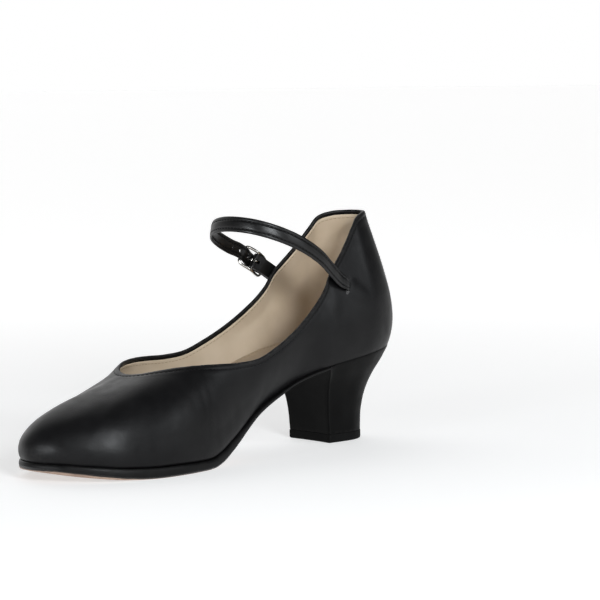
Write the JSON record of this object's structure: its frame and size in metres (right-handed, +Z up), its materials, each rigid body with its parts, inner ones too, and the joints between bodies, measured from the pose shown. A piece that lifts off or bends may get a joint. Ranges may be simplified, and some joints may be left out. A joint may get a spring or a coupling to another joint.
{
  "type": "heeled dance shoe",
  "caption": "Black leather heeled dance shoe for the right foot, with a covered block heel, rounded closed toe and buckled ankle strap.",
  "frame": {"origin": "middle of the shoe's box in plan, on the floor it stands on", "axes": "+X from the heel to the toe, +Y to the inner side of the foot, +Z up"},
  "size_m": [0.2394, 0.0796, 0.1235],
  "materials": {
    "black_leather": "smooth full-grain leather, satin",
    "lining_leather": "matt lining leather",
    "sock_leather": "matt leather over foam",
    "foam": "soft open foam",
    "fibreboard": "pressed cellulose board",
    "stiffener_sheet": "stiffened non-woven sheet",
    "filler_cork": "granulated cork",
    "sole_leather": "dyed and waxed sole edge",
    "suede": "napped suede walking face",
    "heel_plastic": "moulded heel core",
    "heel_rubber": "matt black rubber",
    "steel": "plain steel",
    "nickel": "bright nickel plate"
  },
  "bodies": {
    "shoe": {"upper": "black_leather", "upper_lining": "lining_leather", "toe_puff": "stiffener_sheet", "heel_counter": "stiffener_sheet", "insole_board": "fibreboard", "insole_foam": "foam", "sock_liner": "sock_leather", "forepart_filler": "filler_cork", "shank": "steel", "shank_rivet_1": "steel", "shank_rivet_2": "steel", "outsole": "sole_leather", "sole_facing": "suede", "heel_block": "heel_plastic", "heel_cover": "black_leather", "top_piece": "heel_rubber", "top_piece_pin_1": "steel", "top_piece_pin_2": "steel", "top_piece_pin_3": "steel", "heel_screw": "steel", "heel_nail_1": "steel", "heel_nail_2": "steel", "heel_nail_3": "steel", "heel_nail_4": "steel", "heel_nail_5": "steel", "buckle_tab": "black_leather"},
    "strap": {"ankle_strap": "black_leather"},
    "buckle": {"buckle_frame": "nickel"},
    "prong": {"buckle_prong": "nickel"}
  },
  "joints": [
    {"name": "strap_swing", "type": "hinge", "parent": "shoe", "child": "strap", "pos_m": [-0.07399, 0.02538, 0.0847], "axis": [-0.5215, -0.2608, 0.8124], "range_deg": [0, 105], "deforming": ["ankle_strap"]},
    {"name": "buckle_tilt", "type": "hinge", "parent": "shoe", "child": "buckle", "pos_m": [-0.05579, -0.02902, 0.0959], "axis": [0.5623, 0, -0.8269], "range_deg": [-12, 12]},
    {"name": "prong_swing", "type": "hinge", "parent": "buckle", "child": "prong", "pos_m": [-0.05579, -0.02902, 0.0959], "axis": [0.5623, 0, -0.8269], "range_deg": [0, 115]}
  ]
}
